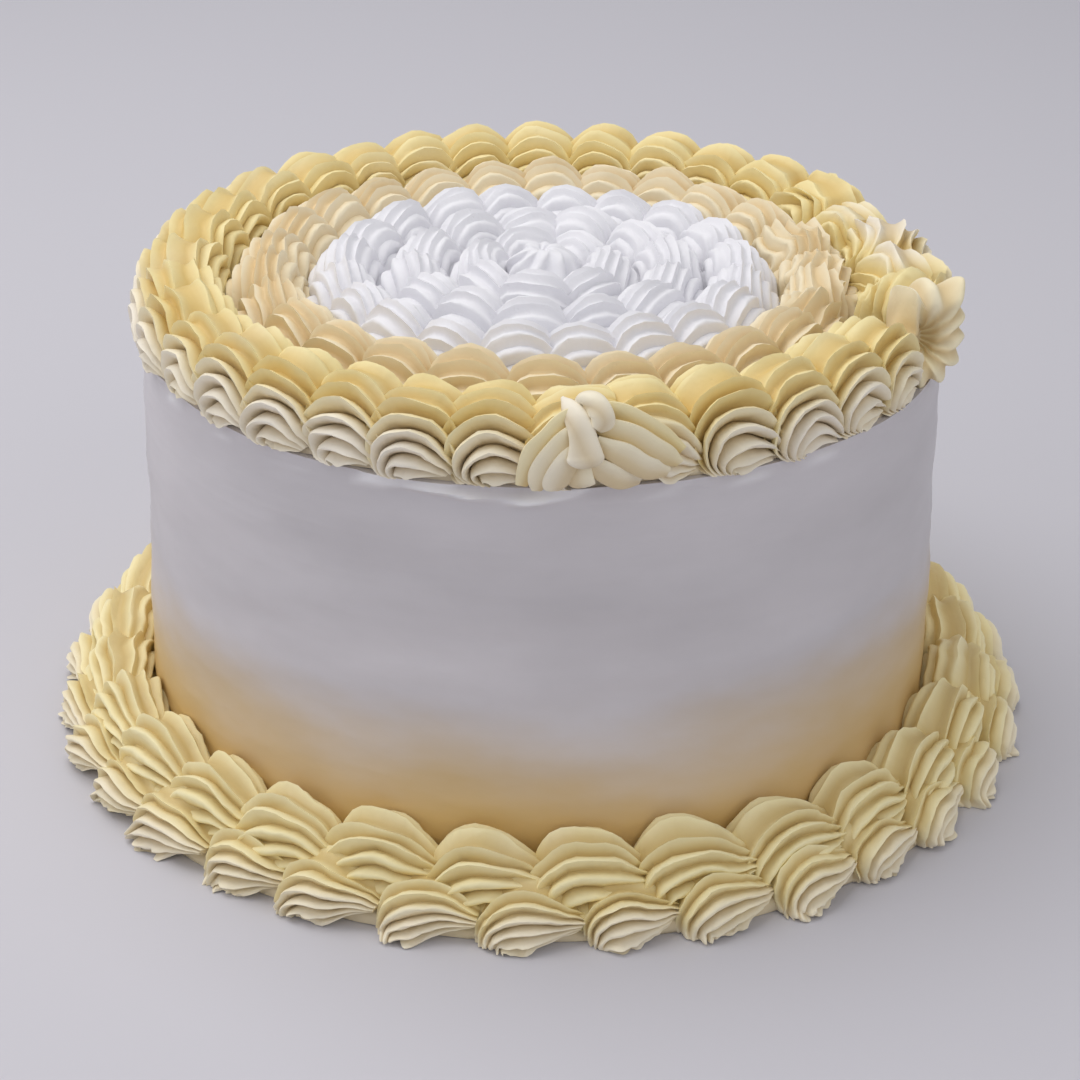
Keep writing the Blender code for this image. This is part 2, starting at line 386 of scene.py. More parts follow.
@dataclass(frozen=True)
class Unevenness:
    """How far hand piping strays, as shares of the size unless a unit is given."""

    height: float = 0.07
    width: float = 0.06
    pitch: float = 0.10
    yaw_deg: float = 5.0
    slide: float = 0.0008
    wobble: float = 0.0006
    grain: float = 0.00016
    twist: float = 0.7
    phase: float = 0.35
    wobble_size: float = 0.016
    grain_size: float = 0.0045
    frill: float = 0.0
    frill_size: float = 0.0065
    frill_top: float = 0.30

    def rougher(self) -> "Unevenness":
        """The same hand in a hurry.

        Returns:
            A copy that strays much further.
        """
        return replace(self, height=3.2 * self.height, yaw_deg=4.5 * self.yaw_deg, slide=3.0 * self.slide,
                       wobble=2.6 * self.wobble, grain=2.0 * self.grain, twist=3.2 * self.twist)


class NodeKit:
    """A new node material, with a short way to add its nodes and join them up."""

    def __init__(self, name: str) -> None:
        """Starts the material.

        Args:
            name: The material's name.
        """
        self.material = bpy.data.materials.new(name)
        self.material.use_nodes = True
        self.tree = self.material.node_tree
        self.shader = self.tree.nodes["Principled BSDF"]

    def feed(self, node: bpy.types.Node, sockets: dict[str | int, object]) -> None:
        """Sets or links a node's sockets.

        Args:
            node: The node.
            sockets: A value or another node's socket for each of its sockets, by name or number.
        """
        for socket, source in sockets.items():
            if isinstance(source, Socket):
                self.tree.links.new(source, node.inputs[socket])
            else:
                node.inputs[socket].default_value = source

    def add(self, kind: str, sockets: dict[str | int, object], **settings: object) -> bpy.types.Node:
        """Adds one node.

        Args:
            kind: Its type.
            sockets: What its sockets get, as in feed().
            settings: Its own settings.

        Returns:
            The node.
        """
        node = self.tree.nodes.new(kind)
        for setting, value in settings.items():
            setattr(node, setting, value)
        self.feed(node, sockets)
        return node

    def place(self) -> Socket:
        """Object coordinates."""
        return self.add("ShaderNodeTexCoord", {}).outputs["Object"]

    def kept(self, name: str) -> Socket:
        """The values kept on the mesh under a name."""
        return self.add("ShaderNodeAttribute", {}, attribute_name=name).outputs["Fac"]

    def noise(self, place: Socket, scale: float, detail: float) -> Socket:
        """Noise of a given scale and detail at a place."""
        sockets = {"Vector": place, "Scale": scale, "Detail": detail}
        return self.add("ShaderNodeTexNoise", sockets).outputs["Fac"]

    def multiply_add(self, *terms: float | Socket) -> Socket:
        """The first of three terms times the second, plus the third."""
        return self.add("ShaderNodeMath", dict(enumerate(terms)), operation="MULTIPLY_ADD").outputs[0]

    def ranged(self, value: Socket, start: Pair, end: Pair = (0.0, 1.0), **settings: object) -> Socket:
        """Carries a value from one range over to another.

        Args:
            value: The value.
            start: The range that it is read in.
            end: The range that it goes to.
            settings: The node's own settings.

        Returns:
            The new value, kept within the range.
        """
        sockets = {"Value": value, "From Min": start[0], "From Max": start[1],
                   "To Min": end[0], "To Max": end[1]}
        return self.add("ShaderNodeMapRange", sockets, **settings).outputs["Result"]

    def mix(self, factor: Socket, *ends: Curve | Socket) -> Socket:
        """Blends two colours.

        Args:
            factor: How much there is of the second one.
            ends: The two colours, each as three numbers or another node's socket.

        Returns:
            The blended colour.
        """
        first, second = (end if isinstance(end, Socket) else (*end, 1.0) for end in ends)
        mixed = self.add("ShaderNodeMix", {"Factor": factor, "A": first, "B": second}, data_type="RGBA")
        return mixed.outputs["Result"]

    def bump(self, height: Socket, strength: float, distance: float) -> Socket:
        """The normal of a surface raised by height."""
        sockets = {"Strength": strength, "Distance": distance, "Height": height}
        return self.add("ShaderNodeBump", sockets).outputs["Normal"]


@dataclass(frozen=True)
class CreamFinish:
    """Whipped cream with sprayed colour: pale where the spray missed, with painted shade darkening it inside
    the flutes.
    """

    name: str
    pale: Triple
    sprayed: Triple
    # Painted shade: deep is the sprayed colour as it looks when shaded inside the flutes.
    deep: Triple
    roughness: float = 0.52
    shine: float = 0.35
    patchiness: float = 0.35
    patch_scale: float = 38.0
    detail: float = 1.0
    # How strongly the flutes get their painted shade, and how far the pale colour is darkened for it.
    painted_shade_share: float = 0.75
    painted_shade_dim: Triple = (0.70, 0.60, 0.44)
    grain_scale: float = 420.0
    pit_scale: float = 260.0
    pit_edge: Pair = (0.05, 0.16)
    pit_share: float = 0.5
    bump_strength: float = 0.22
    bump_height: float = 0.0006

    def material(self) -> bpy.types.Material:
        """Makes the node material.

        Returns:
            The material, or the one already made under this name.
        """
        if self.name in bpy.data.materials:
            return bpy.data.materials[self.name]
        kit = NodeKit(self.name)
        place = kit.place()
        patches = kit.noise(place, self.patch_scale, self.detail)
        spray = kit.multiply_add(patches, 2.0 * self.patchiness, -self.patchiness)
        total = kit.add("ShaderNodeMath", {0: kit.kept("spray_and_highlight"), 1: spray}, operation="ADD", use_clamp=True)
        landed = total.outputs[0]
        colour = kit.mix(landed, self.pale, self.sprayed)
        # Painted shade: the pale and the sprayed colours are darkened where the mesh marks a flute.
        shade = tuple(share * dim for share, dim in zip(self.pale, self.painted_shade_dim))
        inside = kit.mix(landed, shade, self.deep)
        painted_shade_amount = kit.add("ShaderNodeMath", {0: kit.kept("painted_shade"), 1: self.painted_shade_share},
                         operation="MULTIPLY")
        kit.feed(kit.shader, {
            "Base Color": kit.mix(painted_shade_amount.outputs[0], colour, inside),
            "Roughness": self.roughness,
            "Specular IOR Level": self.shine,
            "Normal": self.bubbles(kit, place),
        })
        return kit.material

    def bubbles(self, kit: NodeKit, place: Socket) -> Socket:
        """Adds the fine grain and the small pits that air leaves in whipped cream.

        Args:
            kit: The material being made.
            place: Object coordinates.

        Returns:
            The bumped normal.
        """
        grain = kit.noise(place, self.grain_scale, self.detail)
        pits = kit.add("ShaderNodeTexVoronoi", {"Vector": place, "Scale": self.pit_scale}).outputs["Distance"]
        rough = kit.multiply_add(kit.ranged(pits, self.pit_edge), self.pit_share, grain)
        return kit.bump(rough, self.bump_strength, self.bump_height)


def claim(piece: bpy.types.Object, tone: Tone, material: bpy.types.Material, *nodes: str) -> None:
    """Fixes a piece to the cake, gives it its finish and says which plain solids it stands for.

    Args:
        piece: The piece.
        tone: The cream that it is made of; not used.
        material: Its material.
        nodes: The names of the solids that it replaces.
    """
    piece.data.materials.clear()
    piece.data.materials.append(material)
    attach(piece, BODY)
    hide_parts(*nodes)
    triangles = sum(len(p.vertices) - 2 for p in piece.data.polygons)
    LOG.info("%s: %d triangles, stands for %s", piece.name, triangles, ", ".join(nodes))


@dataclass
class PipedRow:
    """One row of squeezes laid round the cake, each over the tail of the last.

    rough_deg and bare_deg are ranges of bearing. In waves and shares the two numbers are height and length, or
    width and height. In every other pair they are where a change starts and how far it runs.
    """

    name: str
    node: str
    tone: Tone
    finish: CreamFinish
    centre_radius: float
    base: float
    half_width: float
    height: float
    count: int
    start_deg: float
    sweep_deg: float
    seed: int
    squeeze: Squeeze = Squeeze()
    opening: Squeeze | None = None
    stray: Unevenness = Unevenness()
    facing: Facing = Facing.ALL
    wall_radius: float = 0.0
    edge_sag: float = 0.0
    tuck: float = 0.0012
    outer_limit: float = 1.0
    lead: float = 0.0130
    bed_share: Pair = (0.72, 0.34)
    rough_deg: Pair = (0.0, 0.0)
    bare_deg: Pair = (0.0, 0.0)
    bare_above: Pair = (0.58, 0.30)
    tuck_top: float = 0.012
    tuck_run: float = 0.010
    foot_top: float = 0.0035
    foot_run: Pair = (0.005, 0.004)
    overhang: float = 0.0006
    sag_run: float = 0.0015
    spray_least: float = 0.10
    spray_deg: Pair = (14.0, 46.0)
    spray_foot: float = 0.005
    # Where the painted shade in the flutes fades out at the foot.
    painted_shade_foot: Pair = (-0.001, 0.003)
    bed_round: float = 0.6
    bed_inset: float = 0.0002
    bed_waves: Pair = (0.0009, 0.012)
    # The bed lies under and between the squeezes and gets an even painted shade.
    bed_painted_shade: float = 0.6

    def build(self) -> bpy.types.Object:
        """Pipes the row.

        Returns:
            The row as one object.
        """
        piece = mesh_object(self.name, self.skins())
        claim(piece, self.tone, self.finish.material(), self.node)
        return piece

    def skins(self) -> list[Skin]:
        """Pipes the row's squeezes one after another.

        Returns:
            One closed skin for each squeeze.
        """
        draw = np.random.default_rng(self.seed)
        pace = random.Random(self.seed)
        steps = np.array([1.0 + pace.uniform(-self.stray.pitch, self.stray.pitch) for _ in range(self.count)])
        lengths = math.radians(self.sweep_deg) * steps / steps.sum()
        heads = math.radians(self.start_deg) + np.concatenate(((0.0,), np.cumsum(lengths)[:-1]))
        heads += self.lead / self.centre_radius
        shapes = [self.opening or self.squeeze] + [self.squeeze] * (self.count - 1)
        piped = [self.pipe(draw, shape, head, length) for shape, head, length in zip(shapes, heads, lengths)]
        return piped + [self.bed(draw)]

    def bed(self, draw: np.random.Generator) -> Skin:
        """Lays the low run of cream that the squeezes leave under them and between them.

        Args:
            draw: The seeded source of random numbers.

        Returns:
            The run's closed skin.
        """
        sweep = math.radians(self.sweep_deg)
        steps = max(2, int(self.sweep_deg / BED_STEP_DEG))
        bearing = math.radians(self.start_deg) + np.linspace(0.0, sweep, steps)[:, None]
        turn = np.linspace(0.0, FULL_TURN, BED_AROUND, endpoint=False)[None, :]
        wide = self.half_width * self.bed_share[0]
        tall = self.height * self.bed_share[1]
        across, over = (np.sign(side) * np.abs(side) ** self.bed_round
                        for side in (np.cos(turn), np.sin(turn)))
        radius = self.centre_radius + wide * across + 0 * bearing
        if self.edge_sag:
            radius = np.minimum(radius, WALL_TOP_RADIUS + self.bed_inset)
        radius = np.maximum(radius, self.wall_radius)
        height = self.base + tall * over + 0 * bearing
        depth, wavelength = self.bed_waves
        height = height + depth * ripple(draw, on_bearing(radius, height, bearing), wavelength)
        floor = np.where(radius > WALL_TOP_RADIUS, -self.edge_sag, 0.0)
        points = on_bearing(radius, np.maximum(height, self.base + floor), bearing)
        return Skin(points, np.full(radius.shape, self.facing.value), np.full(radius.shape, self.bed_painted_shade))

    def pipe(self, draw: np.random.Generator, shape: Squeeze, head: float, length: float) -> Skin:
        """Lays one squeeze.

        Args:
            draw: The seeded source of random numbers.
            shape: How it swells and thins.
            head: The bearing of its head in radians.
            length: The bearing from its head to the next one, in radians.

        Returns:
            The squeeze as a closed skin in the cake's frame.
        """
        rough = self.rough_deg[0] < math.degrees(head) < self.rough_deg[1]
        stray = self.stray.rougher() if rough else self.stray
        pitch = length * self.centre_radius
        local, turn_deg, flute = shape.sections(
            self.half_width * (1.0 - draw.uniform(0.0, stray.width)),
            self.height * (1.0 - draw.uniform(0.0, stray.height)),
            pitch,
            draw.uniform(-stray.phase, stray.phase),
            draw.uniform(-1.0, 1.0) * stray.twist,
        )
        for axis in range(3):
            local[..., axis] += stray.wobble * ripple(draw, local, stray.wobble_size)
            local[..., axis] += stray.grain * ripple(draw, local, stray.grain_size)
        yaw = math.radians(draw.uniform(-stray.yaw_deg, stray.yaw_deg))
        forward = local[..., 0] * math.cos(yaw) - local[..., 1] * math.sin(yaw)
        outward = local[..., 0] * math.sin(yaw) + local[..., 1] * math.cos(yaw)
        outward += draw.uniform(-stray.slide, stray.slide)
        upward = local[..., 2]
        radius = self.centre_radius + outward
        ground = np.zeros(radius.shape)
        if self.edge_sag:
            under = smooth_step(1.0 - upward / self.tuck_top) * smooth_step(outward / self.tuck_run)
            radius = radius - self.tuck * under
            spread = smooth_step(1.0 - upward / self.foot_top) * ramp(outward, *self.foot_run)
            radius = radius + spread * np.maximum(WALL_TOP_RADIUS + self.overhang - radius, 0.0)
            ground = -self.edge_sag * ramp(radius, WALL_TOP_RADIUS, self.sag_run)
        if stray.frill:
            low = smooth_step(1.0 - upward / (stray.frill_top * self.height))
            radius += stray.frill * low * np.abs(ripple(draw, local, stray.frill_size)) * (turn_deg < 90.0)
        radius = np.clip(radius, self.wall_radius, self.outer_limit)
        height = self.base + np.maximum(upward, ground)
        points = on_bearing(radius, height, head + forward / self.centre_radius)
        # Painted shade in the flutes, faded out at the very foot.
        painted_shade = flute * ramp(upward, *self.painted_shade_foot)
        return Skin(points, self.spray(turn_deg, upward, math.degrees(head)), painted_shade)

    def spray(self, turn_deg: Grid, upward: Grid, head_deg: float) -> Grid:
        """Works out where the sprayed colour landed on a squeeze.

        Args:
            turn_deg: Bearings round the cross-section, 0 outwards and 90 up.
            upward: Heights above what the row lies on.
            head_deg: The bearing of the squeeze's head.

        Returns:
            How much landed on each point, 0 to 1.
        """
        spray_and_highlight = np.ones(turn_deg.shape)
        if self.facing is Facing.TOP:
            landed = ramp(turn_deg, *self.spray_deg) * smooth_step(upward / self.spray_foot)
            spray_and_highlight = self.spray_least + (1.0 - self.spray_least) * landed
        if self.bare_deg[0] < head_deg < self.bare_deg[1]:
            spray_and_highlight = spray_and_highlight * (1.0 - ramp(upward / self.height, *self.bare_above))
        return spray_and_highlight


@dataclass
class Ribbon:
    """A short strand of cream along a curve, such as the curl left where the bag was lifted off.

    The path's points are distance along the row, distance outwards and height, from a place on the rim. They
    and the thicknesses are in tenths of a millimetre.
    """

    bearing_deg: float
    centre_radius: float
    path: tuple[tuple[int, int, int], ...]
    thickness: tuple[int, ...]
    flatness: float = 0.72
    folds: int = 5
    fold_depth: float = 0.16
    lip: float = 0.0
    lip_deg: float = 50.0
    rings: int = 60
    around: int = 40
    spray_and_highlight: float = 0.30
    stray: float = 0.00035
    stray_size: float = 0.006
    seed: int = 31
    side: Triple = (0.0, 1.0, 0.25)
    fold_turn: float = 2.2
    lip_width_deg: float = 21.0
    painted_shade_width_deg: float = 34.0

    def skin(self) -> Skin:
        """Sweeps the strand.

        Returns:
            The strand's closed skin.
        """
        draw = np.random.default_rng(self.seed)
        along = np.linspace(0.0, 1.0, self.rings)
        line = np.stack([eased(tuple(place / TENTHS_OF_MM for place in axis), along)
                         for axis in zip(*self.path)], axis=-1)
        heading = np.gradient(line, axis=0)
        heading /= np.linalg.norm(heading, axis=1, keepdims=True)
        across = np.cross(heading, np.array(self.side))
        across /= np.linalg.norm(across, axis=1, keepdims=True)
        over = np.cross(across, heading)
        turn = np.linspace(0, FULL_TURN, self.around, endpoint=False)[None, :]
        fold = np.abs(np.sin(self.folds * turn / 2 + self.fold_turn * along[:, None]))
        thick = eased(tuple(t / TENTHS_OF_MM for t in self.thickness), along)[:, None]
        size = thick * (1.0 - self.fold_depth * (1.0 - fold))
        from_lip = (np.degrees(turn) - self.lip_deg + 180.0) % 360.0 - 180.0
        size = size * (1.0 + self.lip * np.exp(-((from_lip / self.lip_width_deg) ** 2)))
        # Painted shade: in the folds where there are folds, otherwise on the faces turned away from the lip.
        away = 1.0 - np.exp(-((from_lip / self.painted_shade_width_deg) ** 2))
        painted_shade_amount = 1.0 - fold if self.folds else away + 0 * size
        local = (line[:, None, :] + across[:, None, :] * (size * np.cos(turn))[..., None]
                 + over[:, None, :] * (self.flatness * size * np.sin(turn))[..., None])
        for axis in range(3):
            local[..., axis] += self.stray * ripple(draw, local, self.stray_size)
        head = math.radians(self.bearing_deg)
        points = on_bearing(self.centre_radius + local[..., 1], CAKE_HEIGHT + local[..., 2],
                            head + local[..., 0] / self.centre_radius)
        return Skin(points, np.full(size.shape, self.spray_and_highlight), painted_shade_amount)


@dataclass
class Join:
    """The squeeze that closes the rim row, with the curl on it."""

    shell: PipedRow
    strands: tuple[Ribbon, ...]

    def build(self) -> bpy.types.Object:
        """Makes the closing squeeze and its curl as one piece.

        Returns:
            The join as one object.
        """
        piece = mesh_object("row_join", self.shell.skins() + [strand.skin() for strand in self.strands])
        claim(piece, self.shell.tone, self.shell.finish.material(), self.shell.node)
        return piece


@dataclass
class Burst:
    """One standing squeeze: lips round an axis, turned as it rises, closing over a dimple at its end.

    lips are bearings round the axis in degrees, 0 to the right seen from its end and 90 up.
    girth and depth are shares of reach and length at even steps from its back to its end.
    """

    name: str
    node: str
    tone: Tone
    finish: CreamFinish
    back: Triple
    aim_deg: float
    rise_deg: float
    length: float
    reach: float
    lips: Curve
    flute_depth: float = 0.30
    flap_deg: float = 60.0
    twist_deg: float = 46.0
    tall: float = 1.0
    peak_deg: float = 0.0
    peak_stretch: float = 0.0
    girth: Curve = (0.62, 0.92, 1.0, 0.97, 0.84, 0.58, 0.30, 0.06)
    depth: Curve = (0.0, 0.22, 0.45, 0.68, 0.88, 0.99, 0.96, 0.80)
    rings: int = 56
    per_lip: int = 16
    spray_and_highlight: float = 0.5
    seed: int = 41
    crisp: float = 0.7
    soft: float = 2.2
    usual_span_deg: float = 45.0
    span_limits: Pair = (0.6, 2.2)
    span_power: float = 0.8
    deeper_share: Pair = (0.80, 0.45)
    deeper_along: Pair = (0.3, 0.4)
    twist_power: float = 1.4
    peak_power: int = 22
    peak_fade: Pair = (0.45, 0.35)
    waves: Pair = (0.0006, 0.011)
    edge_room: float = 0.001
    droop: float = 0.003

    def build(self) -> bpy.types.Object:
        """Shapes the squeeze.

        Returns:
            The squeeze as one object.
        """
        draw = np.random.default_rng(self.seed)
        along = np.linspace(0.0, 1.0, self.rings)[:, None]
        share = np.arange(self.per_lip) / self.per_lip
        ends = (*self.lips[1:], self.lips[0] + 360.0)
        turn = np.concatenate([start + (end - start) * share for start, end in zip(self.lips, ends)])
        spans = np.repeat([end - start for start, end in zip(self.lips, ends)], self.per_lip)[None, :]
        share = np.tile(share, len(self.lips))[None, :]
        crisp = np.sin(np.pi * share) ** self.crisp
        soft = 1.0 - np.abs(np.cos(np.pi * share)) ** self.soft
        flute = np.where(spans > self.flap_deg, crisp, soft) + 0 * along
        wider = np.clip(spans / self.usual_span_deg, *self.span_limits) ** self.span_power
        cut = self.flute_depth * wider * flute
        least, more = self.deeper_share
        deeper = least + more * ramp(along, *self.deeper_along)
        size = self.reach * eased(self.girth, along) * (1.0 - cut * deeper)
        angle = np.radians(turn[None, :] + self.twist_deg * along**self.twist_power)
        if self.peak_stretch:
            toward = np.clip(np.cos(angle - math.radians(self.peak_deg)), 0.0, 1.0) ** self.peak_power
            fade_in, fade_out = self.peak_fade
            pulled = toward * smooth_step(along / fade_in) * smooth_step((1.0 - along) / fade_out)
            size = size * (1.0 + self.peak_stretch * pulled)
        across = size * np.cos(angle)
        lift = self.tall * size * np.sin(angle)
        ahead = self.length * eased(self.depth, along) + 0 * across
        aim, rise = math.radians(self.aim_deg), math.radians(self.rise_deg)
        out = np.array((math.sin(aim) * math.cos(rise), -math.cos(aim) * math.cos(rise), math.sin(rise)))
        right = np.array((math.cos(aim), math.sin(aim), 0.0))
        up = np.cross(out, right)
        bearing, radius, height = self.back
        start = on_bearing(np.array(radius), np.array(height), np.array(math.radians(bearing)))
        points = start + ahead[..., None] * out + across[..., None] * right + lift[..., None] * up
        depth, wavelength = self.waves
        for axis in range(3):
            points[..., axis] += depth * ripple(draw, points, wavelength)
        inside = np.hypot(points[..., 0], points[..., 1]) < WALL_TOP_RADIUS + self.edge_room
        points[..., 2] = np.maximum(points[..., 2], np.where(inside, CAKE_HEIGHT, CAKE_HEIGHT - self.droop))
        spray_and_highlight = np.full(flute.shape, self.spray_and_highlight)
        # The flutes are passed on as painted shade.
        piece = mesh_object(self.name, [Skin(points, spray_and_highlight, flute)])
        claim(piece, self.tone, self.finish.material(), self.node)
        return piece


@dataclass
class Coat:
    """The smooth coat: a turned wall and top with the faint marks that a scraper leaves."""

    name: str = "smooth_coat"
    around: int = 280
    up: int = 80
    waviness: float = 0.00045
    smear: float = 0.0010
    ledge: float = 0.0034
    ledge_height: float = 0.1338
    ledge_bearings: Pair = (-24.0, 6.0)
    ledge_fade: float = 0.12
    ledge_even: float = 0.62
    ledge_rag_size: float = 0.016
    ledge_waves: Pair = (0.0008, 0.05)
    ledge_half: float = 0.0014
    ledge_most: float = 1.2
    crowding: float = 1.35
    dent_size: float = 0.09
    dent_flatness: float = 3.2
    scrape_share: float = 0.25
    scrape_size: float = 0.03
    scrape_flatness: float = 9.0
    edge: Pair = (0.955, 0.03)
    lump_size: float = 0.022
    lump_least: float = 0.1
    # How much painted highlight the lumps on the top edge get.
    lump_highlight: float = 0.6
    top_insets: Curve = (0.0012, 0.004, 0.05, 0.12)
    seed: int = 5

    def build(self, material: bpy.types.Material) -> bpy.types.Object:
        """Turns the coat and presses the marks into it.

        Args:
            material: The coat's finish.

        Returns:
            The coat as one object.
        """
        draw = np.random.default_rng(self.seed)
        bearing = np.linspace(0, FULL_TURN, self.around, endpoint=False)[None, :]
        share = 1.0 - (1.0 - np.linspace(0, 1, self.up)[:, None]) ** self.crowding
        height = share * CAKE_HEIGHT + 0 * bearing
        radius = WALL_BASE_RADIUS + (WALL_TOP_RADIUS - WALL_BASE_RADIUS) * share + 0 * bearing
        spots = on_bearing(radius, height, bearing)
        dented = spots * np.array((1.0, 1.0, self.dent_flatness))
        scraped = spots * np.array((1.0, 1.0, self.scrape_flatness))
        radius = radius + self.waviness * ripple(draw, dented, self.dent_size) - self.waviness
        radius += self.scrape_share * self.waviness * ripple(draw, scraped, self.scrape_size)
        edge = ramp(share, *self.edge)
        lumps = np.clip(ripple(draw, dented, self.lump_size) - self.lump_least, 0.0, 1.0)
        radius += self.smear * edge * lumps
        first, last = (math.radians(b) for b in self.ledge_bearings)
        round_front = (bearing + math.pi) % FULL_TURN - math.pi
        ends = (smooth_step(inside / self.ledge_fade) for inside in (round_front - first, last - round_front))
        reach = math.prod(ends)
        rags = (1.0 - self.ledge_even) * ripple(draw, dented, self.ledge_rag_size)
        ragged = reach * (self.ledge_even + rags)
        depth, wavelength = self.ledge_waves
        level = self.ledge_height + depth * ripple(draw, dented, wavelength)
        pushed = np.exp(-(((height - level) / self.ledge_half) ** 2)) * np.clip(ragged, 0.0, self.ledge_most)
        radius += self.ledge * pushed
        rows = [on_bearing(radius, height, bearing)]
        for inwards in self.top_insets:
            ring = np.full((1, self.around), WALL_TOP_RADIUS - inwards)
            rows.append(on_bearing(ring, 0 * ring + CAKE_HEIGHT, bearing))
        points = np.concatenate(rows)
        # Painted highlight: the lumps and the ledge along the top edge are painted whiter, as if lit from
        # above.
        smear_highlight = np.clip(self.lump_highlight * edge * lumps + pushed, 0.0, 1.0)
        spray_and_highlight = np.concatenate((smear_highlight, np.zeros((len(self.top_insets), self.around))))
        piece = mesh_object(self.name, [Skin(points, spray_and_highlight, 0 * spray_and_highlight)], sharp_deg=50.0)
        claim(piece, Tone.COAT, material, "coated_cake")
        return piece


@dataclass(frozen=True)
class CoatFinish:
    """White coat with warm colour sprayed round its foot, uneven and faintly streaked; painted light pales the
    foot at left.
    """

    name: str = "sprayed white coat"
    white: Triple = (0.64, 0.61, 0.63)
    # Painted highlight for the cream on the top edge, whiter than the wall as if lit from above.
    smear_highlight: Triple = (0.90, 0.89, 0.91)
    foot: Triple = (0.74, 0.52, 0.22)
    clear_above: float = 0.074
    full_below: float = 0.018
    # Painted light: the spray line rises towards the left, so the foot is paler where more light falls.
    painted_light_left: float = -0.01
    roughness: float = 0.42
    flatness: float = 2.4
    drift: float = 0.060
    drift_noise: Pair = (11.0, 5.0)
    cloud_range: Pair = (0.30, 0.70)
    cloud_light: Pair = (0.88, 1.07)
    streak_noise: Pair = (90.0, 6.0)
    streak_strength: float = 0.10
    streak_height: float = 0.0008

    def material(self) -> bpy.types.Material:
        """Makes the node material.

        Returns:
            The coat's material.
        """
        kit = NodeKit(self.name)
        place = kit.place()
        axes = kit.add("ShaderNodeSeparateXYZ", {0: place}).outputs
        flattened = kit.add("ShaderNodeMapping", {"Vector": place, "Scale": (1.0, 1.0, self.flatness)})
        flat = flattened.outputs["Vector"]
        drift = kit.noise(flat, *self.drift_noise)
        uneven = kit.multiply_add(drift, self.drift, axes["Z"])
        # Painted light: towards the left each point counts as higher, so less foot colour reaches it and it
        # looks paler.
        height = kit.multiply_add(axes["X"], self.painted_light_left, uneven)
        clear, full = (level + self.drift / 2 for level in (self.clear_above, self.full_below))
        fade = kit.ranged(height, (clear, full), interpolation_type="SMOOTHSTEP")
        cloudy = kit.ranged(drift, self.cloud_range, self.cloud_light)
        colour = kit.mix(fade, self.white, self.foot)
        dapple = kit.add("ShaderNodeVectorMath", {0: colour, "Scale": cloudy}, operation="SCALE")
        streaks = kit.noise(flat, *self.streak_noise)
        # The painted highlight is mixed in where the mesh marks it.
        kit.feed(kit.shader, {
            "Base Color": kit.mix(kit.kept("spray_and_highlight"), dapple.outputs["Vector"], self.smear_highlight),
            "Roughness": self.roughness,
            "Normal": kit.bump(streaks, self.streak_strength, self.streak_height),
        })
        return kit.material


@dataclass
class Studio:
    """The plain pale floor, the soft lights and the camera."""

    camera_place: Triple = (0.0, -0.8501, 0.4775)
    look_down_deg: float = 26.38
    roll_deg: float = 0.678
    lens: float = 92.94
    sensor_width: float = 36.0
    floor_half: float = 4.0
    floor_height: float = -0.0002
    floor_colour: Triple = (0.60, 0.59, 0.635)
    floor_roughness: float = 0.7
    lights: tuple[tuple[str, Triple, float, float, Triple], ...] = (
        ("soft key", (-0.50, 0.30, 1.50), 1.5, 15.5, (1.0, 0.98, 0.96)),
        ("window side", (-1.3, -0.7, 0.9), 1.2, 4.2, (1.0, 0.99, 1.0)),
        ("front fill", (1.1, -1.0, 1.0), 1.4, 4.6, (1.0, 0.99, 0.98)),
    )
    air_colour: Triple = (0.94, 0.95, 1.0)
    air_strength: float = 0.42

    def build(self) -> None:
        """Sets up the floor, the lights, the air and the camera."""
        self.floor()
        for light in self.lights:
            self.light(*light)
        world = bpy.data.worlds.new("studio air")
        bpy.context.scene.world = world
        world.use_nodes = True
        air = world.node_tree.nodes["Background"]
        air.inputs["Color"].default_value = (*self.air_colour, 1.0)
        air.inputs["Strength"].default_value = self.air_strength
        bpy.context.scene.view_settings.view_transform = "Standard"
        self.camera()

    def floor(self) -> None:
        """Lays the floor just under the cake."""
        half = self.floor_half
        corners = ((-half, -half), (half, -half), (half, half), (-half, half))
        mesh = bpy.data.meshes.new("floor")
        mesh.from_pydata([(x, y, self.floor_height) for x, y in corners], [], [(0, 1, 2, 3)])
        kit = NodeKit("pale floor")
        kit.feed(kit.shader, {"Base Color": (*self.floor_colour, 1.0), "Roughness": self.floor_roughness})
        mesh.materials.append(kit.material)
        floor = bpy.data.objects.new("floor", mesh)
        bpy.context.scene.collection.objects.link(floor)

    @staticmethod
    def light(name: str, place: Triple, size: float, power: float,
              colour: Triple) -> None:
        """Hangs one soft light aimed at the middle of the cake.

        Args:
            name: The light's name.
            place: Where it hangs.
            size: The side of its square panel.
            power: Its power in watts.
            colour: Its colour.
        """
        panel = bpy.data.lights.new(name, "AREA")
        panel.size = size
        panel.energy = power
        panel.color = colour
        lamp = bpy.data.objects.new(name, panel)
        lamp.location = place
        aim = Vector((0.0, 0.0, CAKE_HEIGHT / 2)) - Vector(place)
        lamp.rotation_euler = aim.to_track_quat("-Z", "Y").to_euler()
        bpy.context.scene.collection.objects.link(lamp)

    def camera(self) -> None:
        """Stands the camera where the picture was taken from."""
        lens = bpy.data.cameras.new("camera")
        lens.lens = self.lens
        lens.sensor_width = self.sensor_width
        camera = bpy.data.objects.new("camera", lens)
        tilt = Euler((math.radians(90.0 - self.look_down_deg), 0.0, 0.0)).to_matrix().to_4x4()
        roll = Matrix.Rotation(math.radians(self.roll_deg), 4, "Z")
        camera.matrix_world = Matrix.Translation(self.camera_place) @ tilt @ roll
        bpy.context.scene.collection.objects.link(camera)
        bpy.context.scene.camera = camera


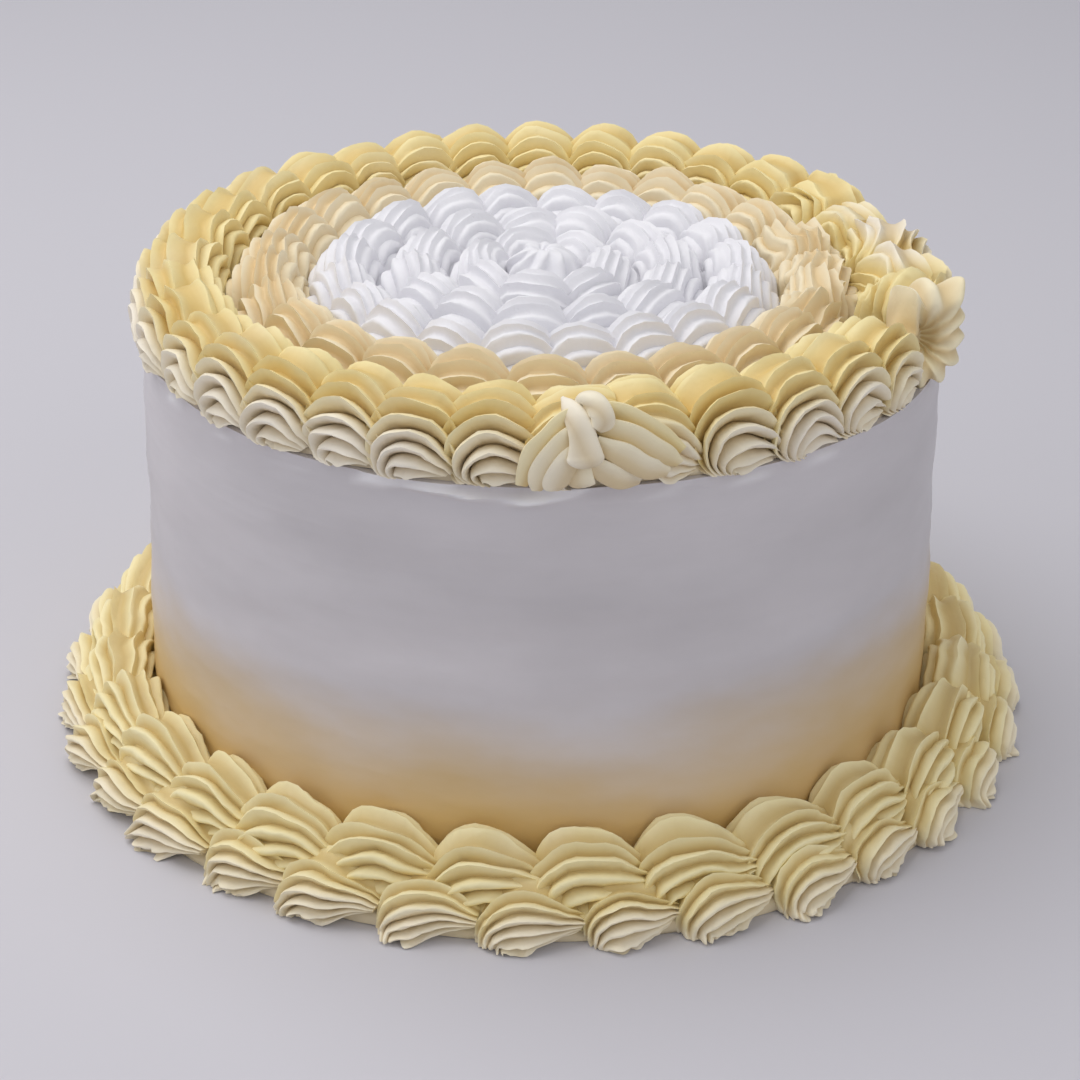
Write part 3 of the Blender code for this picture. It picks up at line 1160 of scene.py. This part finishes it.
@dataclass
class LayerCake:
    """The whole cake: its finishes and its pieces."""

    # Each cream is pale, sprayed and deep, the last being painted shade in the flutes.
    rim: CreamFinish = CreamFinish(
        "lemon sprayed cream", (0.93, 0.87, 0.75), (0.91, 0.79, 0.42), (0.66, 0.44, 0.12))
    apricot: CreamFinish = CreamFinish(
        "apricot sprayed cream", (0.90, 0.84, 0.72), (0.89, 0.785, 0.56), (0.72, 0.52, 0.25))
    white: CreamFinish = CreamFinish(
        "white cream", (0.85, 0.845, 0.875), (0.85, 0.845, 0.875), (0.80, 0.795, 0.83),
        painted_shade_dim=(0.95, 0.95, 0.97))
    foot: CreamFinish = CreamFinish(
        "pale lemon cream", (0.92, 0.84, 0.66), (0.96, 0.86, 0.51), (0.60, 0.42, 0.14))

    def rows(self) -> list[PipedRow]:
        """Lists the piped rows.

        Returns:
            The rows, from the rim inwards and then round the foot.
        """
        top = CAKE_HEIGHT
        rim = {"tone": Tone.RIM, "finish": self.rim, "centre_radius": RIM_RADIUS, "base": top,
               "half_width": 0.0166, "height": 0.0290, "facing": Facing.TOP, "edge_sag": RIM_SAG,
               "bed_share": RIM_BED}
        round_back = (0.74, 0.78, 0.84, 0.92, 1.0, 1.0, 1.0, 1.0)
        fine = Squeeze(comb=Comb(ridges=14, broad_top=1.05, blades=2.4), square=round_back, side_depth=0.24,
                       top_depth=0.15, peak=1.7, rings=28)
        small = Squeeze(comb=Comb(ridges=14, broad_top=1.05, blades=1.5), square=round_back, side_depth=0.16,
                        top_depth=0.09, peak=1.6, rings=24)
        border = Squeeze(
            lean_deg=(88.0, 70.0, 50.0, 31.0, 13.0, -4.0, -16.0, -22.0),
            reach=(0.50, 0.56, 0.70, 0.88, 0.98, 0.88, 0.68, 0.50),
            travel=(0.0, 0.0, 0.02, 0.06, 0.14, 0.26, 0.42, 0.60),
            width=(0.86, 0.92, 0.97, 1.0, 1.0, 0.92, 0.74, 0.54),
            middle=(0.20, 0.23, 0.27, 0.30, 0.33, 0.36, 0.37, 0.37),
            square=(0.56, 0.60, 0.68, 0.76, 0.84, 0.88, 0.90, 0.90),
            comb=Comb(ridges=11, broad_top=0.86,
                      steps=(0.0, 0.11, 0.23, 0.36, 0.53, 0.71, 0.88),
                      drops=(0.0, 0.36, 0.90, 1.0, 0.64, 0.28, 0.06)),
            rings=28, side_depth=0.33, top_depth=0.18, low_deg=-34.0, high_deg=206.0)
        return [
            PipedRow("rim_shells_long", "rim_row_long", count=26, start_deg=75.5, sweep_deg=282.0, seed=11,
                     rough_deg=(78.0, 128.0), bare_deg=(92.0, 116.0), **rim),
            PipedRow("rim_shells_short", "rim_row_short", count=5, start_deg=9.0, sweep_deg=52.5, seed=12,
                     opening=OPENING, **rim),
            PipedRow("apricot_shells", "apricot_row", Tone.APRICOT, self.apricot, 0.0890, top, 0.0162, 0.0268,
                     26, 7.2, 360.0, seed=13, squeeze=fine, rough_deg=(70.0, 118.0)),
            *(PipedRow(f"white_shells_{ring}", f"white_row_{ring}", Tone.WHITE, self.white, radius, top,
                       half_width, 0.0265, count, start, 360.0, seed=seed, squeeze=small, lead=lead)
              for ring, radius, half_width, count, start, seed, lead in (
                  ("outer", 0.0645, 0.0142, 20, 1.0, 14, 0.0105),
                  ("middle", 0.0420, 0.0140, 13, 9.0, 15, 0.0105),
                  ("inner", 0.0213, 0.0130, 7, 17.0, 16, 0.0100))),
            PipedRow("foot_shells_upper", "foot_row_upper", Tone.FOOT, self.foot, 0.1430, 0.0025, 0.0135,
                     0.0290, 29, -0.1, 360.0, seed=17, squeeze=border, wall_radius=WALL_TOP_RADIUS,
                     stray=Unevenness(frill=0.0010)),
            PipedRow("foot_shells_lower", "foot_row_lower", Tone.FOOT, self.foot, 0.1510, 0.0, 0.0145, 0.0195,
                     32, 5.2, 360.0, seed=18, squeeze=border, stray=Unevenness(frill=0.0022),
                     outer_limit=0.1675, facing=Facing.TOP, lead=0.0095, bed_share=(0.45, 0.22)),
        ]

    def middle_squeeze(self) -> None:
        """Makes the squeeze in the very middle."""
        Burst("white_centre", "white_centre_drop", Tone.WHITE, self.white, (0.0, 0.0, CAKE_HEIGHT), 0.0, 90.0,
              0.0245, 0.0135, lips=tuple(360.0 * k / 8 for k in range(8)), flute_depth=0.22, twist_deg=70.0,
              depth=(0.0, 0.2, 0.42, 0.64, 0.84, 0.98, 1.0, 0.92)).build()

    def rim_join(self) -> None:
        """Makes the squeeze that closes the rim row, its hanging tongue and the strands combed from it."""
        shell = PipedRow("join_shell", "rim_join_curl", Tone.RIM, self.rim, RIM_RADIUS, CAKE_HEIGHT, 0.0168,
                         0.0292, 1, -2.5, 12.5, seed=19, squeeze=CLOSING, facing=Facing.TOP, edge_sag=RIM_SAG,
                         bed_share=RIM_BED)
        tongue = Ribbon(
            JOIN_DEG, RIM_RADIUS, spray_and_highlight=0.05, flatness=0.55, folds=2, fold_depth=0.14, stray_size=0.012,
            thickness=(6, 26, 34, 36, 36, 42, 46, 30),
            path=((-90, 80, 272), (-74, 116, 262), (-56, 146, 238), (-42, 168, 206),
                  (-36, 182, 172), (-34, 190, 142), (-34, 192, 124), (-36, 180, 106)))
        fold = Ribbon(
            JOIN_DEG, RIM_RADIUS, spray_and_highlight=0.15, flatness=0.9, folds=2, fold_depth=0.1, rings=40, stray_size=0.012,
            thickness=(12, 28, 34, 30, 14),
            path=((-52, 110, 262), (-26, 118, 278), (2, 140, 262), (10, 162, 232), (-4, 172, 204)))
        combed = (
            ((-36, 104, 246), (-100, 142, 198), (-154, 166, 123), (-186, 150, 30)),
            ((-40, 138, 205), (-90, 162, 152), (-132, 168, 81), (-148, 148, 18)),
            ((-40, 158, 151), (-75, 168, 102), (-98, 160, 50), (-104, 144, 16)),
            ((-8, 104, 246), (60, 124, 227), (132, 148, 183), (214, 160, 116)),
            ((-10, 140, 203), (66, 156, 180), (140, 168, 130), (206, 160, 78)),
            ((-8, 156, 158), (52, 170, 130), (118, 170, 80), (178, 152, 50)),
            ((-30, 160, 104), (12, 162, 70), (60, 152, 40), (112, 136, 24)),
            ((-56, 140, 110), (-52, 150, 78), (-46, 150, 44), (-38, 138, 16)),
        )
        sprays_and_highlights = (0.7, 0.35, 0.2, 0.8, 0.5, 0.3, 0.2, 0.3)
        lips = (128.0,) * 3 + (52.0,) * 5
        strands = [
            Ribbon(JOIN_DEG, RIM_RADIUS, path, (20, 29, 31, 28, 13), flatness=0.70, folds=0,
                   fold_depth=0.0, lip=0.90, lip_deg=lip, rings=40, around=36, stray=0.00022,
                   stray_size=0.012, spray_and_highlight=spray_and_highlight, seed=seed)
            for seed, (path, spray_and_highlight, lip) in enumerate(zip(combed, sprays_and_highlights, lips), start=33)]
        Join(shell, (tongue, fold, *strands)).build()

    def edge_squeeze(self) -> None:
        """Makes the large squeeze that bursts out over the edge."""
        Burst("edge_burst", "rim_star_drop", Tone.RIM, self.rim, (75.2, 0.1171, 0.1485), 12.0, 10.0,
              0.0250, 0.0146, lips=(124.0, 222.0, 250.0, 280.0, 312.0, 342.0, 368.0, 392.0, 416.0, 446.0),
              flute_depth=0.25, twist_deg=-34.0, tall=1.24, peak_deg=42.0, peak_stretch=0.36,
              girth=(0.20, 0.66, 0.93, 0.98, 0.86, 0.64, 0.40, 0.14),
              depth=(0.0, 0.26, 0.50, 0.72, 0.88, 0.95, 0.86, 0.58)).build()

    def build(self) -> None:
        """Makes every piece of the cake."""
        Coat().build(CoatFinish().material())
        for row in self.rows():
            row.build()
        self.middle_squeeze()
        self.rim_join()
        self.edge_squeeze()


def main() -> None:
    """Builds the cake and the studio."""
    logging.basicConfig(level=logging.INFO, format="%(name)s: %(message)s")
    LayerCake().build()
    Studio().build()


if __name__ == "__main__":
    main()
